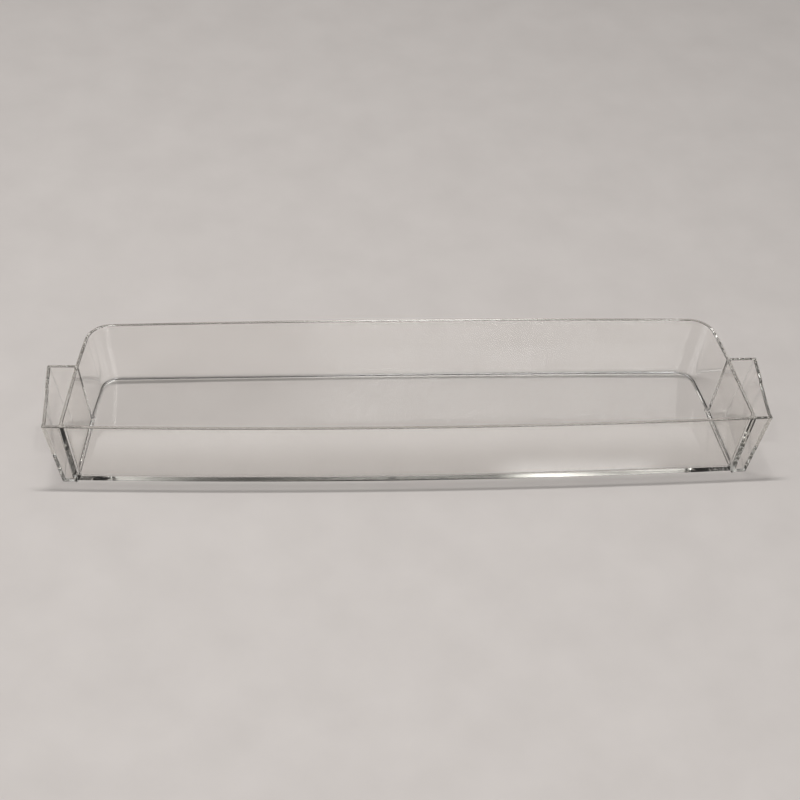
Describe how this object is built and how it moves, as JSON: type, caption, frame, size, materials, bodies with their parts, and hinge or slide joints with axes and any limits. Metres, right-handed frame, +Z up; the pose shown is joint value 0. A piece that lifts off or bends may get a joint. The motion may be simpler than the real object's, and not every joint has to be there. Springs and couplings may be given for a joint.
{
  "type": "fridge door bottle shelf",
  "caption": "Long clear plastic tray for a fridge door, open at the top, with rounded back corners, a bowed front wall and hollow wedge brackets at the ends that drop into the door's seats.",
  "frame": {"origin": "middle of the shelf's bounding box, at the level of the brackets' feet", "axes": "+X along the shelf, -Y towards the user at the bowed front wall, +Z up out of the tray"},
  "size_m": [0.4998, 0.1119, 0.054],
  "materials": {
    "clear_plastic": "clear, polished moulding with fine handling marks"
  },
  "bodies": {
    "root": {"bottle_shelf": "clear_plastic"}
  },
  "joints": []
}
